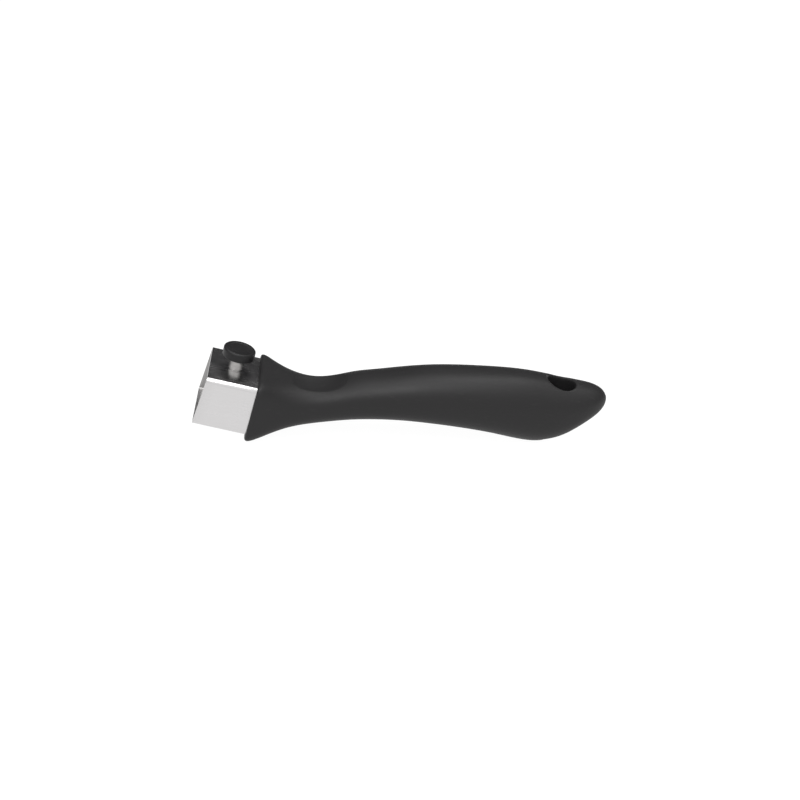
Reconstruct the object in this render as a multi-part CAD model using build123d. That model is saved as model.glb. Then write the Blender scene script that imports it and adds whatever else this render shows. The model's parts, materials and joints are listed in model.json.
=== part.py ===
from build123d import *
import math
import os

# Detachable pan handle: a moulded grip with a folded steel socket that slides over a bracket
# on the pan, and a spring-loaded pin with a pull knob that locks it there.
# Millimetres and degrees. The handle lies on a table: +X runs from the socket's mouth to the
# tail, +Z is up, and the origin is the middle of the underside of the handle's overall box.

# Socket, folded from stainless sheet
socket_width = 32.4
socket_height = 23.4
socket_reach = 21.2         # from the mouth's top edge back to the grip's rim
socket_seat = 2.5           # how deep the socket sits in the grip
socket_pitch = 12.1         # how far the socket points up when the handle lies on a table
sheet = 1.2
fold_radius = 2.2           # outside of each fold
mouth_lean = 1.9            # how far the mouth's bottom edge stands out past its top edge
seam_gap = 0.3              # joint between the sheet's two edges, under the socket
end_plate_thickness = 1.5
pad_thickness = 3.0
pad_gap = 0.4               # between the pad and the socket's inside
gasket_thickness = 0.4
gasket_length = 2.0

# Grip: outer moulding over a stiff core
grip_length = 160.6         # from the rim to the tip of the tail
grip_width = 29.2           # across the belly
rim_wall_side = 2.8         # rim's thickness beside, above and below the socket
rim_wall_top = 2.1
rim_wall_bottom = 3.5
rim_round = 1.2
skin = 2.0                  # outer moulding's thickness over the core
tip_height = 5.8            # of the tail's tip, above the middle of the rim
core_end_share = 0.95       # where the core stops, along the grip
collar_squareness = 10.0
belly_squareness = 2.5
hole_diameter = 13.0        # hanging hole
hole_from_tip = 21.8
thumb_x = 28.5              # middle of the thumb dish, back from the rim
thumb_depth = 1.4
thumb_size = (18.3, 26.8, 12.0)

# Tang and its fasteners
tang_width = 16.0
tang_thickness = 2.0
tang_height = 0.6           # middle of the strip, above the middle of the rim
foot_drop = 0.94            # from the socket's top down to the top of the tang's foot
tang_length = 60.0          # back from the rim
largest_tang_bend = 2.8
slot_gap = 0.1              # core's clearance around the tang and its nuts
rivet_diameter = 3.0
rivet_head_diameter = 5.4
rivet_head_height = 1.0
rivet_spacing = 9.0
rivet_margin = 2.95         # from the rivets' axes up to the socket's ceiling
screw_positions = (28.0, 52.0)   # back from the rim
screw_diameter = 4.0
screw_length = 8.0
screw_head_diameter = 7.0
screw_head_height = 2.0
screw_seat = -3.0           # floor of each counterbore, above the middle of the rim
screw_gap = 0.3
hex_key = 2.5
hex_key_depth = 1.3
washer_diameter = 8.0
washer_thickness = 0.8
nut_diameter = 8.0
nut_height = 3.0

# Locking pin, its guide and its knob
pin_x = 11.1                # pin's axis, back from the mouth's top edge
pin_diameter = 4.8
pin_reach = 4.0             # how far the nose stands out below the guide
pin_travel = 4.5
pin_shoulder = -0.7         # where the spring bears on the pin, above the socket's top
stem_diameter = 2.4
stem_flat = 0.9             # from the stem's axis to its flat
nose_slope = 45.0           # lead-in on the side that faces the mouth
running_gap = 0.05          # radial clearance of the sliding fits
guide_diameter = 6.4
guide_neck_diameter = 5.9
guide_height = 6.8          # above the socket's top
guide_roof = 0.7
swage_diameter = 7.4
swage_thickness = 0.5
swage_washer_diameter = 9.6
swage_washer_thickness = 0.8
fit_gap = 0.05              # radial clearance of the fixed fits
spring_wire = 0.4
spring_turns = 4.5
spring_gap = 0.25           # between the coil and the guide's bore
knob_diameter = 14.0
knob_thickness = 4.0
knob_lift = 5.8             # of the knob's underside, above the socket's top
knob_top_round = 0.8
knob_bottom_round = 0.4
knob_well_gap = 0.5         # around the guide
bumper_thickness = 0.5
insert_diameter = 6.0
insert_length = 1.8

# Sections of the grip's flare, from the rim to the waist: place along the grip as a share of
# its length, then how much of the rim's top, bottom, side and lean is left there.
flare_rows = (
    (0.0, 1.0, 1.0, 1.0, 1.0),
    (0.031, 0.80, 0.83, 0.78, 0.7),
    (0.0625, 0.52, 0.56, 0.56, 0.43),
    (0.125, 0.07, 0.20, 0.24, 0.17),
)
# Sections behind the waist: share of the length, top and bottom above the middle of the rim,
# and the share of the belly's width.
body_rows = (
    (0.19, 8.0, -8.9, 0.89),
    (0.26, 10.5, -7.4, 0.88),
    (0.355, 13.3, -6.4, 0.92),
    (0.45, 15.6, -6.8, 0.97),
    (0.545, 16.9, -8.3, 1.0),
    (0.64, 17.2, -10.5, 1.0),
    (0.73, 17.0, -13.4, 0.97),
    (0.805, 15.8, -14.9, 0.92),
    (0.865, 14.2, -13.0, 0.85),
    (0.915, 13.0, -8.5, 0.74),
    (0.955, 12.0, -3.7, 0.59),
    (0.982, 10.5, 0.0, 0.4),
    (0.994, 8.9, 2.5, 0.25),
)
half_section_points = 13
mesh_tolerance = 0.01

# Sizes that follow from the ones above
socket_length = socket_reach + socket_seat
inner_top = -sheet
inner_bottom = sheet - socket_height
socket_middle = -socket_height / 2
inner_radius = fold_radius - sheet
pitch = math.radians(socket_pitch)
swage_bottom = -sheet - swage_washer_thickness - swage_thickness
guide_bore = pin_diameter + 2 * running_gap
knob_top = knob_lift + knob_thickness
bumper_top = guide_height + bumper_thickness
insert_top = bumper_top + insert_length
spring_diameter = guide_bore - 2 * spring_gap
rivet_z = inner_top - rivet_margin
foot_top = socket_height / 2 - foot_drop
foot_back = socket_seat + tang_thickness / 2
tang_corner = foot_back * math.tan(pitch) + tang_height / math.cos(pitch)
bend_room = rivet_z - rivet_head_diameter / 2 - socket_middle - tang_corner
tang_bend = min(largest_tang_bend, bend_room / math.tan((math.pi / 2 + pitch) / 2))

# Places: the socket's frame starts at the mouth's top edge with x back along the socket and
# z out of its top. The grip's frame starts in the middle of the rim with x level.
socket_place = Location((0, 0, 0), (0, socket_pitch, 0))
rim_middle = (socket_place * Pos(socket_reach, 0, socket_middle)).position
grip_place = Pos(rim_middle.X, 0, rim_middle.Z)
pin_place = socket_place * Pos(pin_x, 0, 0)


def ring(outer_diameter, inner_diameter, bottom, top):
    """A tube along z between two heights."""
    height = top - bottom
    wall = Cylinder(outer_diameter / 2, height) - Cylinder(inner_diameter / 2, height)
    return Pos(0, 0, (bottom + top) / 2) * wall


def rod(diameter, bottom, top):
    """A round bar along z between two heights."""
    return Pos(0, 0, (bottom + top) / 2) * Cylinder(diameter / 2, top - bottom)


def bar_along_socket(width, height, radius, start, end):
    """A bar with rounded corners, along the socket's axis and centred on it."""
    plane = Plane(origin=(start, 0, socket_middle), x_dir=(0, 1, 0), z_dir=(1, 0, 0))
    return extrude(plane * RectangleRounded(width, height, radius), end - start)


# ---- Socket ----

def make_socket_sleeve():
    outer = bar_along_socket(socket_width, socket_height, fold_radius, -mouth_lean, socket_length)
    inner = bar_along_socket(
        socket_width - 2 * sheet,
        socket_height - 2 * sheet,
        inner_radius,
        -mouth_lean,
        socket_length,
    )
    sleeve = outer - inner
    mouth = Polyline(
        (-2 * mouth_lean, 0),
        (0, 0),
        (-mouth_lean, -socket_height),
        (-2 * mouth_lean, -socket_height),
        close=True,
    )
    sleeve -= extrude(Plane.XZ * make_face(mouth), socket_width, both=True)
    seam = Box(2 * socket_length + 2 * mouth_lean, seam_gap, sheet)
    sleeve -= Pos(0, 0, inner_bottom - sheet / 2) * seam
    sleeve -= Pos(pin_x, 0, 0) * rod(guide_neck_diameter + 2 * fit_gap, -sheet, 0)
    return sleeve


def make_end_plate():
    plate = bar_along_socket(
        socket_width - 2 * sheet,
        socket_height - 2 * sheet,
        inner_radius,
        socket_length - end_plate_thickness,
        socket_length,
    )
    for hole in rivet_bars(rivet_diameter + 2 * fit_gap, 0, socket_length):
        plate -= hole
    return plate


def make_stop_pad():
    back = socket_length - end_plate_thickness
    pad = bar_along_socket(
        socket_width - 2 * sheet - 2 * pad_gap,
        socket_height - 2 * sheet - 2 * pad_gap,
        inner_radius,
        back - pad_thickness,
        back,
    )
    for hole in rivet_bars(rivet_diameter + 2 * fit_gap, 0, back):
        pad -= hole
    recess = back - pad_thickness + rivet_head_height
    for hole in rivet_bars(rivet_head_diameter + 2 * fit_gap, back - pad_thickness, recess):
        pad -= hole
    return pad


def rivet_bars(diameter, start, end):
    """Round bars on the two rivet axes, along the socket."""
    bars = []
    for side in (-1, 1):
        plane = Plane(origin=(start, side * rivet_spacing / 2, rivet_z), z_dir=(1, 0, 0))
        bars.append(extrude(plane * Circle(diameter / 2), end - start))
    return bars


def make_tang_rivets():
    front = socket_length - end_plate_thickness - pad_thickness
    back = socket_length + tang_thickness
    shanks = rivet_bars(rivet_diameter, front, back + rivet_head_height)
    front_heads = rivet_bars(rivet_head_diameter, front, front + rivet_head_height)
    back_heads = rivet_bars(rivet_head_diameter, back, back + rivet_head_height)
    return [shank + a + b for shank, a, b in zip(shanks, front_heads, back_heads)]


def make_collar_gasket():
    start = socket_length - gasket_length
    around = bar_along_socket(
        socket_width + 2 * gasket_thickness,
        socket_height + 2 * gasket_thickness,
        fold_radius + gasket_thickness,
        start,
        socket_length,
    )
    return around - bar_along_socket(socket_width, socket_height, fold_radius, start, socket_length)


# ---- Grip ----

def grip_section(x, top, bottom, half_width, squareness, lean):
    """A closed outline across the grip: a rounded box that gets rounder as squareness falls.

    Its points spread evenly over the sides and the corners of a superellipse."""
    middle = (top + bottom) / 2
    half_height = (top - bottom) / 2
    points = []
    for step in range(half_section_points):
        angle = math.pi * (0.5 - step / (half_section_points - 1))
        across = math.sqrt(abs(math.cos(angle)))
        up = math.copysign(math.sqrt(abs(math.sin(angle))), angle)
        reach = (across**squareness + abs(up) ** squareness) ** (-1 / squareness)
        points.append((half_width * across * reach, half_height * up * reach))
    points[0] = (0, half_height)
    points[-1] = (0, -half_height)
    right = Spline(points, tangents=[(1, 0), (-1, 0)])
    left = mirror(right, Plane.YZ)
    slope = math.radians(lean)
    across_grip = Plane(
        origin=(x, 0, middle),
        x_dir=(0, 1, 0),
        z_dir=(math.cos(slope), 0, -math.sin(slope)),
    )
    return across_grip * make_face([right, left])


def grip_rows():
    """Every section of the grip as (x, top, bottom, half width, squareness, lean)."""
    waist = body_rows[0]
    rim_top = socket_height / 2 + rim_wall_top
    rim_bottom = -socket_height / 2 - rim_wall_bottom
    rim_side = socket_width / 2 + rim_wall_side
    waist_side = waist[3] * grip_width / 2
    rows = []
    for share, top, bottom, side, lean in flare_rows:
        rows.append((
            share * grip_length,
            waist[1] + (rim_top - waist[1]) * top,
            waist[2] + (rim_bottom - waist[2]) * bottom,
            waist_side + (rim_side - waist_side) * side,
            belly_squareness + (collar_squareness - belly_squareness) * side**2,
            socket_pitch * lean,
        ))
    for share, top, bottom, width in body_rows:
        rows.append((
            share * grip_length,
            top,
            bottom,
            width * grip_width / 2,
            belly_squareness,
            0,
        ))
    return rows


def make_grip_outside():
    sections = [grip_section(*row) for row in grip_rows()]
    return loft(sections + [Vertex(grip_length, 0, tip_height)])


def make_core_outside():
    sections = []
    for x, top, bottom, half_width, squareness, lean in grip_rows():
        if x <= core_end_share * grip_length:
            inset = (x, top - skin, bottom + skin, half_width - skin, squareness, lean)
            sections.append(grip_section(*inset))
    return loft(sections)


def socket_space(gap, start, end):
    """The space around the socket, in the grip's frame."""
    space = bar_along_socket(
        socket_width + 2 * gap,
        socket_height + 2 * gap,
        fold_radius + gap,
        start,
        end,
    )
    return grip_place.inverse() * socket_place * space


def hanging_hole(diameter):
    return Pos(grip_length - hole_from_tip, 0, 0) * Cylinder(diameter / 2, 4 * socket_height)


def thumb_dish():
    waist_top = body_rows[0][1]
    size_x, size_y, size_z = thumb_size
    bowl = scale(Sphere(1), by=(size_x, size_y, size_z))
    return Pos(thumb_x, 0, waist_top - thumb_depth + size_z) * bowl


def screw_columns(diameter, bottom, top):
    """Upright round bars on the screws' axes, in the grip's frame."""
    return [Pos(x, 0, 0) * rod(diameter, bottom, top) for x in screw_positions]


def tang_space():
    """What the core leaves open for the tang, the rivets' heads and the clinch nuts."""
    tang = tang_blank(
        tang_thickness + 2 * slot_gap,
        tang_width + 2 * slot_gap,
        foot_top + slot_gap,
        tang_length + slot_gap,
    )
    channel_end = max(screw_positions) + nut_diameter / 2 + slot_gap
    channel = Box(channel_end, nut_diameter + 2 * slot_gap, nut_height + slot_gap)
    floor = tang_height + tang_thickness / 2
    channel = Pos(channel_end / 2, 0, floor + (nut_height + slot_gap) / 2) * channel
    head_radius = rivet_head_diameter / 2 + slot_gap
    heads_start = socket_length + tang_thickness
    heads = rivet_bars(2 * head_radius, heads_start, heads_start + rivet_head_height + slot_gap)
    space = tang + channel
    for head in heads:
        space += grip_place.inverse() * socket_place * head
    return space


def make_grip():
    """The outer moulding and the core, in the grip's frame."""
    outside = make_grip_outside()
    outside = fillet(outside.faces().sort_by(Axis.X)[0].edges(), rim_round)
    core = make_core_outside() - socket_space(grip_width, -socket_reach, socket_length)
    core -= hanging_hole(hole_diameter + 2 * skin)
    moulding = outside - core
    moulding -= socket_space(gasket_thickness, 0, socket_length)
    moulding -= hanging_hole(hole_diameter)
    moulding -= thumb_dish()
    core -= tang_space()
    low = -2 * socket_height
    for column in screw_columns(washer_diameter + 2 * screw_gap, low, screw_seat):
        moulding -= column
        core -= column
    for column in screw_columns(screw_diameter + 2 * screw_gap, low, tang_height):
        core -= column
    return moulding, core


# ---- Tang and fasteners, in the grip's frame ----

def tang_blank(thickness, width, top, length):
    """The bent strip: a foot against the end plate, then a level run back from the rim."""
    corner = (foot_back / math.cos(pitch) + tang_height * math.tan(pitch), tang_height)
    foot_end = (
        foot_back * math.cos(pitch) + top * math.sin(pitch),
        top * math.cos(pitch) - foot_back * math.sin(pitch),
    )
    line = FilletPolyline(foot_end, corner, (length, tang_height), radius=tang_bend)
    return extrude(Plane.XZ * trace(line, thickness), width / 2, both=True)


def make_tang():
    tang = tang_blank(tang_thickness, tang_width, foot_top, tang_length)
    low = tang_height - tang_thickness
    high = tang_height + tang_thickness
    for column in screw_columns(screw_diameter + 2 * fit_gap, low, high):
        tang -= column
    holes = rivet_bars(rivet_diameter + 2 * fit_gap, socket_length, socket_length + 2 * tang_thickness)
    for hole in holes:
        tang -= grip_place.inverse() * socket_place * hole
    return tang


def make_grip_screws():
    bearing = screw_seat - washer_thickness
    key = extrude(RegularPolygon(hex_key / math.sqrt(3), 6), hex_key_depth)
    screws = []
    for x in screw_positions:
        screw = rod(screw_diameter, bearing, bearing + screw_length)
        screw += rod(screw_head_diameter, bearing - screw_head_height, bearing)
        screw -= Pos(0, 0, bearing - screw_head_height) * key
        screws.append(Pos(x, 0, 0) * screw)
    return screws


def make_screw_washers():
    washer = ring(
        washer_diameter,
        screw_diameter + 2 * fit_gap,
        screw_seat - washer_thickness,
        screw_seat,
    )
    return [Pos(x, 0, 0) * washer for x in screw_positions]


def make_clinch_nuts():
    floor = tang_height + tang_thickness / 2
    nut = ring(nut_diameter, screw_diameter + 2 * fit_gap, floor, floor + nut_height)
    return [Pos(x, 0, 0) * nut for x in screw_positions]


# ---- Locking pin, guide and knob, on the pin's axis with z = 0 at the socket's top ----

def make_guide_sleeve():
    guide = rod(guide_diameter, 0, guide_height)
    guide += rod(guide_neck_diameter, swage_bottom, 0)
    guide += rod(swage_diameter, swage_bottom, swage_bottom + swage_thickness)
    guide -= rod(guide_bore, swage_bottom, guide_height - guide_roof)
    keyhole = rod(stem_diameter + 2 * running_gap, guide_height - guide_roof, guide_height)
    return guide - flatten(keyhole, stem_flat + running_gap)


def flatten(shape, distance):
    """Cuts away the side of an upright shape that faces the tail, leaving a flat."""
    keep = 2 * knob_diameter
    return shape - Pos(distance + keep / 2, 0, 0) * Box(keep, keep, 2 * keep)


def make_swage_washer():
    return ring(
        swage_washer_diameter,
        guide_neck_diameter + 2 * fit_gap,
        -sheet - swage_washer_thickness,
        -sheet,
    )


def make_locking_pin():
    tip = swage_bottom - pin_reach
    nose = rod(pin_diameter, tip, pin_shoulder)
    wedge = Box(2 * pin_diameter, 2 * pin_diameter, pin_diameter)
    nose -= Pos(0, 0, tip) * Rot(0, nose_slope, 0) * Pos(0, 0, -pin_diameter / 2) * wedge
    stem = flatten(rod(stem_diameter, pin_shoulder, bumper_top), stem_flat)
    stem += rod(stem_diameter, bumper_top, insert_top)
    return nose + stem


def make_plunger_spring():
    coil_radius = (spring_diameter - spring_wire) / 2
    bottom = pin_shoulder + spring_wire / 2
    height = guide_height - guide_roof - pin_shoulder - spring_wire
    coil = Helix(height / spring_turns, height, coil_radius)
    start = Plane(origin=coil @ 0, z_dir=coil % 0)
    return Pos(0, 0, bottom) * sweep(start * Circle(spring_wire / 2), path=coil, is_frenet=True)


def make_knob():
    knob = rod(knob_diameter, knob_lift, knob_top)
    rims = knob.edges().filter_by(GeomType.CIRCLE).sort_by(Axis.Z)
    knob = fillet(rims[-1], knob_top_round)
    rims = knob.edges().filter_by(GeomType.CIRCLE).sort_by(Axis.Z)
    knob = fillet(rims[0], knob_bottom_round)
    knob -= rod(guide_diameter + 2 * knob_well_gap, knob_lift, guide_height)
    return knob - rod(insert_diameter, guide_height, insert_top)


def make_knob_insert():
    return ring(insert_diameter, stem_diameter, bumper_top, insert_top)


def make_knob_bumper():
    return ring(insert_diameter, stem_diameter + 2 * fit_gap, guide_height, bumper_top)


# ---- Assembly ----

def assemble():
    """Every node's solids, placed with the handle lying on the table."""
    moulding, core = make_grip()
    socket_nodes = {
        "socket_sleeve": [make_socket_sleeve()],
        "end_plate": [make_end_plate()],
        "stop_pad": [make_stop_pad()],
        "tang_rivets": make_tang_rivets(),
        "collar_gasket": [make_collar_gasket()],
    }
    grip_nodes = {
        "grip_skin": [moulding],
        "grip_core": [core],
        "tang": [make_tang()],
        "grip_screws": make_grip_screws(),
        "screw_washers": make_screw_washers(),
        "clinch_nuts": make_clinch_nuts(),
    }
    pin_nodes = {
        "guide_sleeve": [make_guide_sleeve()],
        "swage_washer": [make_swage_washer()],
        "locking_pin": [make_locking_pin()],
        "plunger_spring": [make_plunger_spring()],
        "knob": [make_knob()],
        "knob_insert": [make_knob_insert()],
        "knob_bumper": [make_knob_bumper()],
    }
    placed = {}
    for place, nodes in (
        (socket_place, socket_nodes),
        (grip_place, grip_nodes),
        (pin_place, pin_nodes),
    ):
        for name, shapes in nodes.items():
            placed[name] = [place * solid for shape in shapes for solid in shape.solids()]
    return placed


def lowest_and_highest(solids):
    """The two corners of the solids' overall box, measured on their fine meshes."""
    points = []
    for solid in solids:
        points.extend(solid.tessellate(mesh_tolerance)[0])
    low = [min(getattr(point, axis) for point in points) for axis in "XYZ"]
    high = [max(getattr(point, axis) for point in points) for axis in "XYZ"]
    return low, high


placed_nodes = assemble()
low, high = lowest_and_highest(sum(placed_nodes.values(), []))
to_origin = Pos(-(low[0] + high[0]) / 2, 0, -low[2])

os.makedirs("parts", exist_ok=True)
for node, solids in placed_nodes.items():
    moved = [to_origin * solid for solid in solids]
    export_step(Compound(moved) if len(moved) > 1 else moved[0], f"parts/{node}.step")
    print(node, len(moved), "solid(s)")

print("mouth's top edge", (to_origin * socket_place).position)
print("middle of the rim", (to_origin * grip_place).position)
print("overall box", low, high)
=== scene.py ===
import json
import math

import bmesh
import bpy
from mathutils import Matrix, Vector


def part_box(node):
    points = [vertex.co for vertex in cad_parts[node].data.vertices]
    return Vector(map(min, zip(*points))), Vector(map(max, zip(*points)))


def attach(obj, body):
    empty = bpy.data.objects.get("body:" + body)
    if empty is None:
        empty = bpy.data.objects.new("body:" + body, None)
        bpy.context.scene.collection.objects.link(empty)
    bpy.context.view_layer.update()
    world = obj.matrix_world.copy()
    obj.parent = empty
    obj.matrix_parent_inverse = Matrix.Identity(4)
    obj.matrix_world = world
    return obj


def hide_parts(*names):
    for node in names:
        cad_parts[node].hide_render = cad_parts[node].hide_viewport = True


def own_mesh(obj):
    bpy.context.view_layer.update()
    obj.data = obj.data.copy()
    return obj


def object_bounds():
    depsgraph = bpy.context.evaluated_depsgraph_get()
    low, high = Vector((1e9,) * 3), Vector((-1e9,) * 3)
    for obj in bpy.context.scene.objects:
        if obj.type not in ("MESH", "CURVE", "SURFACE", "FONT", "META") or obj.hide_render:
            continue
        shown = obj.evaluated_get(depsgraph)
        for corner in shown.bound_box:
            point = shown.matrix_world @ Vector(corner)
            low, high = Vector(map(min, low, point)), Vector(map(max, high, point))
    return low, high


# A detachable pan handle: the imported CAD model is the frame, and the visible grip, socket,
# guide and knob are finer meshes in the same places. Everything is in metres.

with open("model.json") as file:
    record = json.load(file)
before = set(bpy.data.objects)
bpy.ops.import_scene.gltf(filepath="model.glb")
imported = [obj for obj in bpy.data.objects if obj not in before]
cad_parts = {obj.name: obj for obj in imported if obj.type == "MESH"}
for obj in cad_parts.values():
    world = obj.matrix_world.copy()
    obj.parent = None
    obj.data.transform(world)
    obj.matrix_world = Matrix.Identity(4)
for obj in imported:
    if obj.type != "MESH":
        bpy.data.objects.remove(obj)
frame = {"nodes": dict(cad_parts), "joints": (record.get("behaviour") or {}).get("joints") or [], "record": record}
cad_low, cad_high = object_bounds()
nodes = frame["nodes"]
record = frame["record"]
mounts = {mount["name"]: mount for mount in record["mounts"]}
pull = frame["joints"][0]

# Socket sheet, as in the CAD model
SOCKET_WIDTH = 2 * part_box("socket_sleeve")[1].y
SOCKET_HEIGHT = 0.0234
SOCKET_LENGTH = 0.0237
SOCKET_REACH = 0.0212
SHEET = 0.0012
FOLD_RADIUS = 0.0022
MOUTH_LEAN = 0.0019
SEAM_GAP = 0.0003
LIP_BEVEL = 0.00022
LIP_STEPS = 3
FOLD_STEPS = 10
PIN_X = 0.0111

# Grip's mesh: voxel size, smoothing passes, and how far in the softer edges reach
GRIP_VOXEL = 0.00036
GRIP_RELAX = 8
EDGE_RELAX = 75
RELAX_FACTOR = 0.5
RELAX_FADE = 1.5
RIM_DEPTH = 0.0028
HOLE_DEPTH = 0.0012
HOLE_RADIUS = mounts["hanging_hole"]["dims"]["r_mm"] / 1000
HOLE_PLACE = Vector(mounts["hanging_hole"]["pos_m"])
MERGE_DISTANCE = 1e-6
TURNED_MERGE_DISTANCE = 1e-7

# Guide and knob on the pin's axis, heights above the socket's top
GUIDE_RADIUS = 0.0032
GUIDE_NECK_RADIUS = 0.00295
GUIDE_BORE = 0.00245
GUIDE_HEIGHT = 0.0068
GUIDE_ROOF = 0.0007
GUIDE_GROOVE = 0.00035
SWAGE_RADIUS = 0.0037
SWAGE_BOTTOM = -0.0025
SWAGE_THICKNESS = 0.0005
STEM_RADIUS = 0.0012
STEM_GAP = 0.00005
GUIDE_ROUNDING = (0.0001, 0.0002, 0.0002, 0, 0, 0.00025, 0.0003, 0.0001, 0, 0)
SPRING_BOTTOM = -0.0007
SPRING_TOP = GUIDE_HEIGHT - GUIDE_ROOF
SPRING_RADIUS = 0.002
SPRING_WIRE = 0.0004
SPRING_TURNS = 4.5
SPRING_STEPS = 48
WIRE_SIDES = 12
KNOB_RADIUS = 0.007
KNOB_BOTTOM = 0.0058
KNOB_TOP = 0.0098
KNOB_DISH = 0.00012
KNOB_WELL = 0.0037
KNOB_RIM = 0.0018
KNOB_DISH_EDGE = 0.0024
KNOB_DISH_SHARES = (0.4, 0.2)
KNOB_ROUNDING = (0, 0, 0.0002, 0.0004, 0.0008, 0.0006, 0.0006, 0, 0, 0, 0, 0)
KNOB_SEGMENTS = 128
INSERT_RADIUS = 0.003
INSERT_TOP = 0.0091

# Camera, as angles in degrees and a distance from the point it looks at
CAMERA_AZIMUTH = -6.93
CAMERA_ELEVATION = 28.68
CAMERA_ROLL = 5.6
CAMERA_DISTANCE = 0.4663
CAMERA_LENS = 46.47
AIM_OFFSET = Vector((-0.0015, 0.0, -0.0042))
CAMERA_SENSOR = 36.0
CAMERA_CLIP = 0.01

# Studio: the dome's light side, and how bright the dome and the white floor are
DOME_FACING = (0.0, -0.5, 0.866)
DOME_STRENGTH = 1.1
FLOOR_GLOW = 0.97
FLOOR_WHITE = 0.1
DOME_DARK = (0.03, 0.03, 0.031)
DOME_DARK_STOP = 0.12
DOME_LIGHT_STOP = 0.62
FLOOR_REACH = 6.0
FLOOR_DROP = 0.0002
LIGHT_AIM = Vector((0.0, 0.0, 0.015))

# Material colours, dark to light
WHITE = (1.0, 1.0, 1.0)
GRIP_BLACKS = ((0.0092, 0.0088, 0.0092), (0.0128, 0.0123, 0.0128))
GRIP_SCUFF = (0.05, 0.0485, 0.0485)
KNOB_BLACKS = ((0.006, 0.0058, 0.0062), (0.0095, 0.0092, 0.0098))
SHEET_GREYS = ((0.405, 0.398, 0.4), (0.505, 0.496, 0.5))
# Painted shade: a darker grey coloured onto the socket sheet's inner side, standing in for the shade inside the
# socket
SHEET_INSIDE_SHADE = (0.2, 0.197, 0.193)
SHEET_WORN = (0.72, 0.71, 0.71)
BLACK_SPECULAR = 0.3

# Noise stretched along each axis, in features to the metre
SCUFF_STRETCH = (160.0, 900.0, 900.0)
BRUSH_STRETCH = (60.0, 5200.0, 5200.0)
LONG_BRUSH_STRETCH = (12.0, 1500.0, 1500.0)
RING_STRETCH = (90.0, 90.0, 9000.0)

# Depths of the surfaces' grain
GRIP_GRAIN_DEPTH = 0.00003
PLASTIC_GRAIN_DEPTH = 0.00002
METAL_GRAIN_DEPTH = 0.00001
RING_DEPTH = 0.000006
BRUSH_DEPTH = 0.000004
LONG_BRUSH_DEPTH = 0.000008


def socket_frame():
    """Matrix of the socket: origin at the mouth's top edge, x back along it, z out of its top."""
    up = Vector(pull["axis"]).normalized()
    back = Vector((up.z, 0.0, -up.x))
    mouth = Vector(mounts["socket_mouth"]["pos_m"])
    origin = mouth + back * (MOUTH_LEAN / 2) + up * (SOCKET_HEIGHT / 2)
    matrix = Matrix((back, (0.0, 1.0, 0.0), up)).transposed().to_4x4()
    matrix.translation = origin
    return matrix


SOCKET = socket_frame()
INTO_SOCKET = SOCKET.inverted()
PIN = SOCKET @ Matrix.Translation((PIN_X, 0.0, 0.0))


# ---- Mesh helpers ----

def new_object(name, bm, smooth_angle=35.0):
    """A mesh object from bm, shaded smooth except across edges sharper than smooth_angle."""
    bmesh.ops.recalc_face_normals(bm, faces=bm.faces)
    for face in bm.faces:
        face.smooth = True
    limit = math.radians(smooth_angle)
    for edge in bm.edges:
        if len(edge.link_faces) == 2 and edge.calc_face_angle(0.0) > limit:
            edge.smooth = False
    mesh = bpy.data.meshes.new(name)
    bm.to_mesh(mesh)
    bm.free()
    obj = bpy.data.objects.new(name, mesh)
    bpy.context.scene.collection.objects.link(obj)
    return obj


def finish_piece(obj, material, slot, body, *replaced):
    """Gives a piece its material and body, and hides the CAD nodes that it stands for; slot is not used."""
    obj.data.materials.clear()
    obj.data.materials.append(material)
    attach(obj, body)
    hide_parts(*replaced)


def bridge(bm, ring, beyond):
    """Faces between two closed rings of vertices."""
    count = len(ring)
    for i in range(count):
        j = (i + 1) % count
        bm.faces.new((ring[i], ring[j], beyond[j], beyond[i]))


def lathe(name, profile, matrix, segments=96):
    """A closed turned piece: profile is a closed loop of (radius, height) points."""
    bm = bmesh.new()
    rings = []
    for step in range(segments):
        angle = 2 * math.pi * step / segments
        spin = Vector((math.cos(angle), math.sin(angle), 0.0))
        ring = []
        for radius, height in profile:
            point = spin * radius + Vector((0.0, 0.0, height))
            ring.append(bm.verts.new(matrix @ point))
        rings.append(ring)
    for step in range(segments):
        bridge(bm, rings[step], rings[(step + 1) % segments])
    bmesh.ops.remove_doubles(bm, verts=bm.verts, dist=TURNED_MERGE_DISTANCE)
    return new_object(name, bm)


def rounded(points, radii, steps=5):
    """The closed outline through points, each corner rounded by an arc of its own radius."""
    outline = []
    count = len(points)
    for i in range(count):
        corner = Vector(points[i])
        before = (Vector(points[i - 1]) - corner).normalized()
        after = (Vector(points[(i + 1) % count]) - corner).normalized()
        if radii[i] == 0:
            outline.append(corner)
            continue
        half = before.angle(after) / 2
        reach = radii[i] / math.tan(half)
        start = corner + before * reach
        end = corner + after * reach
        middle = corner + (before + after).normalized() * (radii[i] / math.sin(half))
        for step in range(steps + 1):
            share = step / steps
            chord = start.lerp(end, share) - middle
            outline.append(middle + chord.normalized() * radii[i])
    return [(point.x, point.y) for point in outline]


# ---- Material helpers ----

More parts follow.
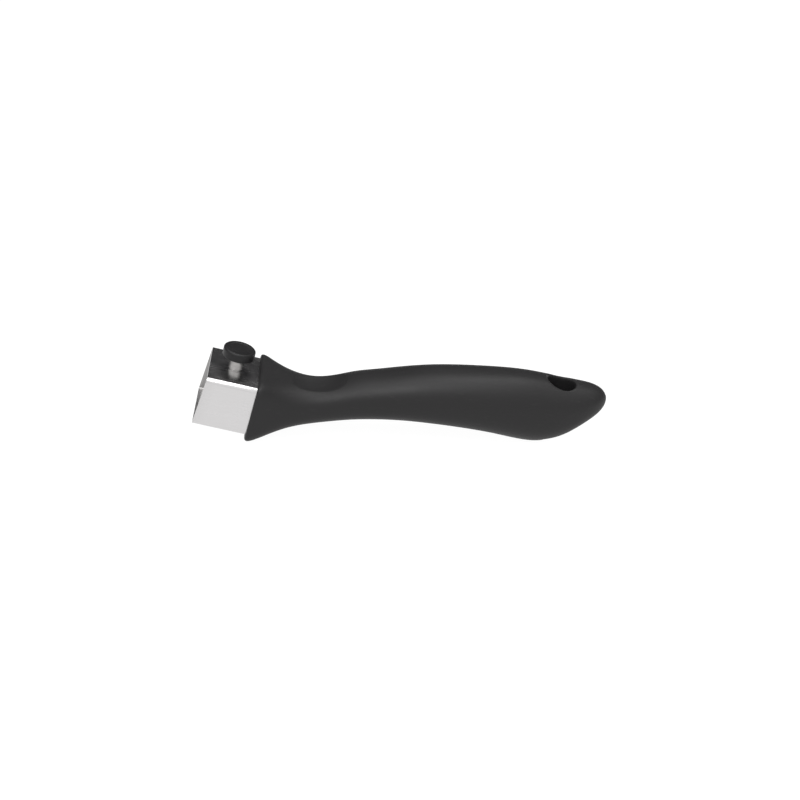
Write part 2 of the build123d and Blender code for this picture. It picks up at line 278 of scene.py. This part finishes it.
class Shader:
    """Builds one procedural material around a Principled BSDF."""

    def __init__(self, name, coords_matrix=None):
        self.material = bpy.data.materials.new(name)
        self.material.use_nodes = True
        self.tree = self.material.node_tree
        self.tree.nodes.clear()
        self.surface = self.add("ShaderNodeBsdfPrincipled")
        output = self.add("ShaderNodeOutputMaterial")
        self.link(self.surface.outputs["BSDF"], output.inputs["Surface"])
        coords = self.add("ShaderNodeTexCoord")
        self.coords = coords.outputs["Object"]
        if coords_matrix is not None:
            place = self.add("ShaderNodeMapping")
            place.vector_type = "POINT"
            inverse = coords_matrix.inverted()
            place.inputs["Location"].default_value = inverse.translation
            place.inputs["Rotation"].default_value = inverse.to_euler()
            self.link(self.coords, place.inputs["Vector"])
            self.coords = place.outputs["Vector"]

    def add(self, kind):
        return self.tree.nodes.new(kind)

    def link(self, source, target):
        self.tree.links.new(source, target)

    def noise(self, scale, detail=2.0, roughness=0.5, stretch=None):
        """Noise with scale features to the metre, or stretched by a scale for each axis."""
        source = self.coords
        if stretch is not None:
            mapping = self.add("ShaderNodeMapping")
            mapping.inputs["Scale"].default_value = stretch
            self.link(source, mapping.inputs["Vector"])
            source = mapping.outputs["Vector"]
        texture = self.add("ShaderNodeTexNoise")
        texture.inputs["Scale"].default_value = scale
        texture.inputs["Detail"].default_value = detail
        texture.inputs["Roughness"].default_value = roughness
        self.link(source, texture.inputs["Vector"])
        return texture.outputs["Fac"]

    def spread(self, value, low, high, low_in=0.3, high_in=0.7):
        """value from low_in to high_in becomes low to high."""
        ramp = self.add("ShaderNodeMapRange")
        ramp.inputs["From Min"].default_value = low_in
        ramp.inputs["From Max"].default_value = high_in
        ramp.inputs["To Min"].default_value = low
        ramp.inputs["To Max"].default_value = high
        self.link(value, ramp.inputs["Value"])
        return ramp.outputs["Result"]

    def mix(self, amount, first, second):
        """A colour from first to second by amount."""
        mixer = self.add("ShaderNodeMix")
        mixer.data_type = "RGBA"
        self.link(amount, mixer.inputs["Factor"])
        for value, socket in ((first, mixer.inputs[6]), (second, mixer.inputs[7])):
            if isinstance(value, tuple):
                socket.default_value = (*value, 1.0)
            else:
                self.link(value, socket)
        return mixer.outputs[2]

    def add_values(self, first, second, kind="ADD"):
        adder = self.add("ShaderNodeMath")
        adder.operation = kind
        self.link(first, adder.inputs[0])
        if isinstance(second, float):
            adder.inputs[1].default_value = second
        else:
            self.link(second, adder.inputs[1])
        return adder.outputs[0]

    def worn_edges(self, low=0.52, high=0.6):
        """0 on flat ground to 1 on outer edges."""
        geometry = self.add("ShaderNodeNewGeometry")
        return self.spread(geometry.outputs["Pointiness"], 0.0, 1.0, low, high)

    def inside_socket(self):
        """1 on the sheet's inner side, in a material that follows the socket's frame."""
        split = self.add("ShaderNodeSeparateXYZ")
        self.link(self.coords, split.inputs["Vector"])
        across = self.scaled_size(split.outputs["Y"], 0.0, SOCKET_WIDTH / 2)
        upright = self.scaled_size(split.outputs["Z"], SOCKET_HEIGHT / 2, SOCKET_HEIGHT / 2)
        far = self.add_values(across, upright, "MAXIMUM")
        return self.spread(far, 1.0, 0.0, 0.94, 0.96)

    def scaled_size(self, value, shift, half):
        """How far value is from the middle, as a share of half."""
        moved = self.add_values(value, shift)
        size = self.add("ShaderNodeMath")
        size.operation = "ABSOLUTE"
        self.link(moved, size.inputs[0])
        return self.add_values(size.outputs[0], half, "DIVIDE")

    def bump(self, height, strength, distance):
        node = self.add("ShaderNodeBump")
        node.inputs["Strength"].default_value = strength
        node.inputs["Distance"].default_value = distance
        self.link(height, node.inputs["Height"])
        if self.surface.inputs["Normal"].is_linked:
            before = self.surface.inputs["Normal"].links[0].from_socket
            self.link(before, node.inputs["Normal"])
        self.link(node.outputs["Normal"], self.surface.inputs["Normal"])

    def color(self, value):
        if isinstance(value, tuple):
            self.surface.inputs["Base Color"].default_value = (*value, 1.0)
        else:
            self.link(value, self.surface.inputs["Base Color"])

    def roughness(self, value):
        self.link(value, self.surface.inputs["Roughness"])

    def metallic(self):
        self.surface.inputs["Metallic"].default_value = 1.0


def soft_touch_material():
    """Black moulding with a soft-touch finish: fine grain, faint handling marks."""
    shader = Shader("soft_touch")
    cloud = shader.noise(45.0, 3.0)
    grain = shader.noise(2600.0, 2.0)
    scuffs = shader.noise(1.0, 4.0, 0.6, stretch=SCUFF_STRETCH)
    base = shader.mix(cloud, *GRIP_BLACKS)
    marks = shader.spread(scuffs, 0.0, 0.18, 0.6, 0.8)
    shader.color(shader.mix(marks, base, GRIP_SCUFF))
    rough = shader.add_values(shader.spread(cloud, 0.5, 0.58), shader.spread(grain, -0.03, 0.03))
    shader.roughness(rough)
    shader.surface.inputs["Specular IOR Level"].default_value = BLACK_SPECULAR
    shader.bump(grain, 0.35, GRIP_GRAIN_DEPTH)
    return shader.material


def knob_material():
    """Hard black plastic with a fine eroded texture."""
    shader = Shader("knob_plastic")
    cloud = shader.noise(180.0, 2.0)
    grain = shader.noise(4200.0, 3.0)
    base = shader.mix(cloud, *KNOB_BLACKS)
    shader.color(base)
    mottle = shader.add_values(cloud, grain, "MULTIPLY")
    shader.roughness(shader.spread(mottle, 0.38, 0.5, 0.1, 0.4))
    shader.surface.inputs["Specular IOR Level"].default_value = BLACK_SPECULAR
    shader.bump(grain, 0.3, PLASTIC_GRAIN_DEPTH)
    return shader.material


def plastic_material(name, dark, light, rough):
    """Plain moulded plastic or rubber."""
    shader = Shader(name)
    cloud = shader.noise(120.0, 3.0)
    grain = shader.noise(3500.0, 2.0)
    shader.color(shader.mix(cloud, dark, light))
    shader.roughness(shader.spread(cloud, rough - 0.06, rough + 0.06))
    shader.bump(grain, 0.25, PLASTIC_GRAIN_DEPTH)
    return shader.material


def sheet_material():
    """Stainless sheet, finely brushed along the socket and lightly handled, with painted shade darkening its inner
    side.
    """
    shader = Shader("stainless_sheet", SOCKET)
    lines = shader.noise(1.0, 3.0, 0.6, stretch=BRUSH_STRETCH)
    long_lines = shader.noise(1.0, 2.0, 0.5, stretch=LONG_BRUSH_STRETCH)
    smudge = shader.noise(110.0, 3.0)
    base = shader.mix(lines, *SHEET_GREYS)
    inside = shader.inside_socket()
    # Painted shade: the sheet's inner side is coloured darker grey, standing in for the shade inside the socket
    shaded_inside = shader.mix(inside, base, SHEET_INSIDE_SHADE)
    worn = shader.spread(shader.worn_edges(0.51, 0.56), 0.0, 0.5, 0.0, 1.0)
    shader.color(shader.mix(worn, shaded_inside, SHEET_WORN))
    brushed = shader.spread(lines, 0.15, 0.27)
    rougher_inside = shader.spread(inside, 0.0, 0.16, 0.0, 1.0)
    fine = shader.add_values(brushed, rougher_inside)
    patchy = shader.spread(smudge, -0.02, 0.05)
    shader.roughness(shader.add_values(fine, patchy))
    shader.metallic()
    shader.bump(long_lines, 0.25, LONG_BRUSH_DEPTH)
    shader.bump(lines, 0.3, BRUSH_DEPTH)
    return shader.material


def turned_material(name, matrix, dark, light, rough):
    """Turned or drawn metal with fine rings around its axis."""
    shader = Shader(name, matrix)
    rings = shader.noise(1.0, 3.0, 0.6, stretch=RING_STRETCH)
    smudge = shader.noise(260.0, 2.0)
    base = shader.mix(rings, dark, light)
    shader.color(base)
    turned = shader.spread(rings, rough, rough + 0.1)
    patchy = shader.spread(smudge, -0.02, 0.04)
    shader.roughness(shader.add_values(turned, patchy))
    shader.metallic()
    shader.bump(rings, 0.35, RING_DEPTH)
    return shader.material


def plain_metal(name, dark, light, rough):
    """Rolled or plated metal with a cloudy finish."""
    shader = Shader(name)
    cloud = shader.noise(300.0, 4.0)
    grain = shader.noise(4000.0, 2.0)
    shader.color(shader.mix(cloud, dark, light))
    shader.roughness(shader.spread(cloud, rough - 0.05, rough + 0.08))
    shader.metallic()
    shader.bump(grain, 0.25, METAL_GRAIN_DEPTH)
    return shader.material


MATERIALS = {
    "soft_touch": soft_touch_material(),
    "knob_plastic": knob_material(),
    "stainless_sheet": sheet_material(),
    "bright_steel": turned_material("bright_steel", PIN, (0.47, 0.465, 0.455), (0.6, 0.59, 0.575), 0.15),
    "brass": turned_material("brass", PIN, (0.68, 0.5, 0.22), (0.83, 0.64, 0.32), 0.22),
    "spring_steel": plain_metal("spring_steel", (0.34, 0.33, 0.32), (0.46, 0.45, 0.44), 0.3),
    "plain_steel": plain_metal("plain_steel", (0.42, 0.41, 0.4), (0.55, 0.54, 0.53), 0.32),
    "zinc_steel": plain_metal("zinc_steel", (0.5, 0.51, 0.53), (0.66, 0.66, 0.67), 0.26),
    "core_nylon": plastic_material("core_nylon", (0.018, 0.018, 0.018), (0.03, 0.03, 0.03), 0.55),
    "pad_nylon": plastic_material("pad_nylon", (0.02, 0.02, 0.021), (0.034, 0.034, 0.035), 0.5),
    "silicone": plastic_material("silicone", (0.012, 0.012, 0.012), (0.02, 0.02, 0.02), 0.62),
}


# ---- Pieces ----

def evaluated_mesh(obj):
    """A new mesh of obj with its modifiers applied."""
    graph = bpy.context.evaluated_depsgraph_get()
    return bpy.data.meshes.new_from_object(obj.evaluated_get(graph))


def relax_share(point):
    """1 at the rim and at the hanging hole's wall, fading to 0 a few millimetres away."""
    behind_rim = (INTO_SOCKET @ point).x - SOCKET_REACH
    from_axis = math.hypot(point.x - HOLE_PLACE.x, point.y - HOLE_PLACE.y)
    from_wall = abs(from_axis - HOLE_RADIUS)
    nearest = min(behind_rim / RIM_DEPTH, from_wall / HOLE_DEPTH)
    return max(0.0, min(1.0, RELAX_FADE - nearest))


def soften_edges(grip):
    """Rounds the rim's and the hanging hole's edges further."""
    group = grip.vertex_groups.new(name="edges")
    for vertex in grip.data.vertices:
        weight = relax_share(vertex.co)
        if weight > 0.0:
            group.add([vertex.index], weight, "REPLACE")
    relax = grip.modifiers.new("edges", "SMOOTH")
    relax.factor = RELAX_FACTOR
    relax.iterations = EDGE_RELAX
    relax.vertex_group = "edges"
    grip.data = evaluated_mesh(grip)
    grip.modifiers.clear()


def make_grip():
    """One smooth moulding around the skin and core, with softened edges at the rim and holes."""
    bm = bmesh.new()
    for name in ("grip_skin", "grip_core"):
        bm.from_mesh(nodes[name].data)
    bmesh.ops.remove_doubles(bm, verts=bm.verts, dist=MERGE_DISTANCE)
    source = new_object("grip_source", bm)
    remesh = source.modifiers.new("remesh", "REMESH")
    remesh.mode = "VOXEL"
    remesh.voxel_size = GRIP_VOXEL
    remesh.use_smooth_shade = True
    relax = source.modifiers.new("relax", "SMOOTH")
    relax.factor = RELAX_FACTOR
    relax.iterations = GRIP_RELAX
    grip = bpy.data.objects.new("grip_moulding", evaluated_mesh(source))
    bpy.data.objects.remove(source)
    bpy.context.scene.collection.objects.link(grip)
    soften_edges(grip)
    for polygon in grip.data.polygons:
        polygon.use_smooth = True
    finish_piece(grip, MATERIALS["soft_touch"], "soft_touch", "handle", "grip_skin")


def sheet_outline(inset):
    """Points across the socket from one side of the seam round to the other."""
    half_width = SOCKET_WIDTH / 2 - inset
    top = -inset
    bottom = inset - SOCKET_HEIGHT
    radius = FOLD_RADIUS - inset
    corners = (
        (-half_width + radius, bottom + radius, -90.0, -180.0),
        (-half_width + radius, top - radius, 180.0, 90.0),
        (half_width - radius, top - radius, 90.0, 0.0),
        (half_width - radius, bottom + radius, 0.0, -90.0),
    )
    points = [(-SEAM_GAP / 2, bottom)]
    for middle_y, middle_z, start, end in corners:
        for step in range(FOLD_STEPS + 1):
            angle = math.radians(start + (end - start) * step / FOLD_STEPS)
            points.append((middle_y + radius * math.cos(angle), middle_z + radius * math.sin(angle)))
    points.append((SEAM_GAP / 2, bottom))
    return points


def lip_layers():
    """Each rail's depth into the sheet and distance back from the mouth, None at the far end."""
    layers = [(0.0, None)]
    for step in range(LIP_STEPS + 1):
        angle = math.pi / 2 * step / LIP_STEPS
        layers.append((LIP_BEVEL * (1 - math.cos(angle)), LIP_BEVEL * (1 - math.sin(angle))))
    for step in range(LIP_STEPS + 1):
        angle = math.pi / 2 * (1 - step / LIP_STEPS)
        layers.append((SHEET - LIP_BEVEL * (1 - math.cos(angle)), LIP_BEVEL * (1 - math.sin(angle))))
    layers.append((SHEET, None))
    return layers


def make_socket():
    """The folded sheet, with a softened lip all round its slanted mouth."""
    bm = bmesh.new()
    rails = []
    for inset, setback in lip_layers():
        rail = []
        for y, z in sheet_outline(inset):
            mouth = z / SOCKET_HEIGHT * MOUTH_LEAN
            x = SOCKET_LENGTH if setback is None else mouth + setback
            rail.append(bm.verts.new(SOCKET @ Vector((x, y, z))))
        rails.append(rail)
    count = len(rails)
    for k in range(count):
        here = rails[k]
        beyond = rails[(k + 1) % count]
        for i in range(len(here) - 1):
            bm.faces.new((here[i], here[i + 1], beyond[i + 1], beyond[i]))
    for end in (0, -1):
        bm.faces.new([rail[end] for rail in rails])
    socket = new_object("socket_shell", bm, 50.0)
    finish_piece(socket, MATERIALS["stainless_sheet"], "stainless_sheet", "handle", "socket_sleeve")


def make_guide():
    """The turned sleeve, closed at its top round the stem and swaged under the socket's top."""
    profile = rounded(
        [
            (GUIDE_BORE, SWAGE_BOTTOM),
            (SWAGE_RADIUS, SWAGE_BOTTOM),
            (SWAGE_RADIUS, SWAGE_BOTTOM + SWAGE_THICKNESS),
            (GUIDE_NECK_RADIUS, SWAGE_BOTTOM + SWAGE_THICKNESS),
            (GUIDE_NECK_RADIUS, GUIDE_GROOVE),
            (GUIDE_RADIUS, GUIDE_GROOVE),
            (GUIDE_RADIUS, GUIDE_HEIGHT),
            (STEM_RADIUS + STEM_GAP, GUIDE_HEIGHT),
            (STEM_RADIUS + STEM_GAP, GUIDE_HEIGHT - GUIDE_ROOF),
            (GUIDE_BORE, GUIDE_HEIGHT - GUIDE_ROOF),
        ],
        GUIDE_ROUNDING,
    )
    guide = lathe("guide_turned", profile, PIN)
    finish_piece(guide, MATERIALS["bright_steel"], "bright_steel", "handle", "guide_sleeve")


def make_knob():
    """The pull knob, slightly dished, with a well under it for the guide."""
    profile = rounded(
        [
            (INSERT_RADIUS, GUIDE_HEIGHT),
            (KNOB_WELL, GUIDE_HEIGHT),
            (KNOB_WELL, KNOB_BOTTOM),
            (KNOB_RADIUS, KNOB_BOTTOM),
            (KNOB_RADIUS, KNOB_TOP),
            (KNOB_RADIUS - KNOB_RIM, KNOB_TOP),
            (KNOB_RADIUS - KNOB_DISH_EDGE, KNOB_TOP - KNOB_DISH),
            (KNOB_RADIUS * KNOB_DISH_SHARES[0], KNOB_TOP - KNOB_DISH),
            (KNOB_RADIUS * KNOB_DISH_SHARES[1], KNOB_TOP - KNOB_DISH),
            (0.0, KNOB_TOP - KNOB_DISH),
            (0.0, INSERT_TOP),
            (INSERT_RADIUS, INSERT_TOP),
        ],
        KNOB_ROUNDING,
    )
    knob = lathe("knob_cap", profile, PIN, KNOB_SEGMENTS)
    finish_piece(knob, MATERIALS["knob_plastic"], "knob_plastic", "plunger", "knob")


def make_spring():
    """The coil in the guide, wound along the pin's axis."""
    steps = SPRING_STEPS * SPRING_TURNS
    bottom = SPRING_BOTTOM + SPRING_WIRE / 2
    rise = SPRING_TOP - SPRING_BOTTOM - SPRING_WIRE
    bm = bmesh.new()
    rings = []
    for step in range(int(steps) + 1):
        angle = 2 * math.pi * step / SPRING_STEPS
        outward = Vector((math.cos(angle), math.sin(angle), 0.0))
        centre = outward * SPRING_RADIUS + Vector((0.0, 0.0, bottom + rise * step / steps))
        ring = []
        for side in range(WIRE_SIDES):
            turn = 2 * math.pi * side / WIRE_SIDES
            offset = outward * math.cos(turn) + Vector((0.0, 0.0, math.sin(turn)))
            ring.append(bm.verts.new(PIN @ (centre + offset * (SPRING_WIRE / 2))))
        rings.append(ring)
    for ring, beyond in zip(rings, rings[1:]):
        bridge(bm, ring, beyond)
    bm.faces.new(rings[0])
    bm.faces.new(rings[-1])
    spring = new_object("spring_coil", bm, 60.0)
    finish_piece(spring, MATERIALS["spring_steel"], "spring_steel", "handle", "plunger_spring")
    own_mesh(spring)


def dress_frame():
    """Better materials on the CAD nodes that stay."""
    for part in record["subparts"]:
        obj = nodes[part["node"]]
        for slot in obj.material_slots:
            slot.material = MATERIALS[part["material_slot"]]


# ---- Stage ----

def make_floor():
    """A wide white floor that glows a little, just under the object."""
    bm = bmesh.new()
    signs = ((-1, -1), (1, -1), (1, 1), (-1, 1))
    height = cad_low.z - FLOOR_DROP
    bm.faces.new([bm.verts.new((x * FLOOR_REACH, y * FLOOR_REACH, height)) for x, y in signs])
    floor = new_object("floor", bm)
    material = bpy.data.materials.new("floor_paper")
    material.use_nodes = True
    tree = material.node_tree
    tree.nodes.clear()
    glow = tree.nodes.new("ShaderNodeEmission")
    glow.inputs["Strength"].default_value = FLOOR_GLOW
    matte = tree.nodes.new("ShaderNodeBsdfDiffuse")
    matte.inputs["Color"].default_value = (FLOOR_WHITE, FLOOR_WHITE, FLOOR_WHITE, 1.0)
    both = tree.nodes.new("ShaderNodeAddShader")
    output = tree.nodes.new("ShaderNodeOutputMaterial")
    tree.links.new(glow.outputs[0], both.inputs[0])
    tree.links.new(matte.outputs[0], both.inputs[1])
    tree.links.new(both.outputs[0], output.inputs["Surface"])
    floor.data.materials.append(material)


def make_world():
    """A dome that is light overhead and in front and dark low down behind the object.

    The lens itself sees a pale backdrop beyond the floor.
    """
    world = bpy.data.worlds.new("studio")
    bpy.context.scene.world = world
    world.use_nodes = True
    tree = world.node_tree
    tree.nodes.clear()
    coords = tree.nodes.new("ShaderNodeTexCoord")
    facing = tree.nodes.new("ShaderNodeVectorMath")
    facing.operation = "DOT_PRODUCT"
    facing.inputs[1].default_value = DOME_FACING
    ramp = tree.nodes.new("ShaderNodeValToRGB")
    back = tree.nodes.new("ShaderNodeBackground")
    backdrop = tree.nodes.new("ShaderNodeBackground")
    rays = tree.nodes.new("ShaderNodeLightPath")
    choice = tree.nodes.new("ShaderNodeMixShader")
    output = tree.nodes.new("ShaderNodeOutputWorld")
    tree.links.new(coords.outputs["Generated"], facing.inputs[0])
    tree.links.new(facing.outputs["Value"], ramp.inputs["Fac"])
    tree.links.new(ramp.outputs["Color"], back.inputs["Color"])
    tree.links.new(rays.outputs["Is Camera Ray"], choice.inputs["Fac"])
    tree.links.new(back.outputs[0], choice.inputs[1])
    tree.links.new(backdrop.outputs[0], choice.inputs[2])
    tree.links.new(choice.outputs[0], output.inputs["Surface"])
    backdrop.inputs["Color"].default_value = (*WHITE, 1.0)
    stops = ramp.color_ramp.elements
    stops[0].position = DOME_DARK_STOP
    stops[0].color = (*DOME_DARK, 1.0)
    stops[1].position = DOME_LIGHT_STOP
    stops[1].color = (*WHITE, 1.0)
    back.inputs["Strength"].default_value = DOME_STRENGTH


def area_light(name, place, size, power):
    """A soft light at place, in watts, turned towards the object."""
    data = bpy.data.lights.new(name, "AREA")
    data.shape = "RECTANGLE"
    data.size, data.size_y = size
    data.energy = power
    light = bpy.data.objects.new(name, data)
    light.location = place
    aim = LIGHT_AIM - Vector(place)
    light.rotation_euler = aim.to_track_quat("-Z", "Y").to_euler()
    bpy.context.scene.collection.objects.link(light)


def make_camera():
    """The camera, aimed from its angles at a point near the object's middle."""
    azimuth = math.radians(CAMERA_AZIMUTH)
    elevation = math.radians(CAMERA_ELEVATION)
    back = Vector((
        math.sin(azimuth) * math.cos(elevation),
        -math.cos(azimuth) * math.cos(elevation),
        math.sin(elevation),
    ))
    target = (cad_low + cad_high) / 2 + AIM_OFFSET
    data = bpy.data.cameras.new("camera")
    data.lens = CAMERA_LENS
    data.sensor_width = CAMERA_SENSOR
    data.clip_start = CAMERA_CLIP
    camera = bpy.data.objects.new("camera", data)
    camera.location = target + back * CAMERA_DISTANCE
    turn = back.to_track_quat("Z", "Y").to_matrix().to_4x4()
    roll = Matrix.Rotation(math.radians(CAMERA_ROLL), 4, "Z")
    camera.matrix_world = Matrix.Translation(camera.location) @ turn @ roll
    bpy.context.scene.collection.objects.link(camera)
    bpy.context.scene.camera = camera


dress_frame()
make_grip()
make_socket()
make_guide()
make_knob()
make_spring()
make_floor()
make_world()
area_light("key", (-0.3, -0.4, 1.2), (0.7, 0.7), 9.0)
area_light("top", (0.25, 0.5, 1.25), (0.6, 0.6), 5.0)
make_camera()
bpy.context.scene.view_settings.view_transform = "Standard"
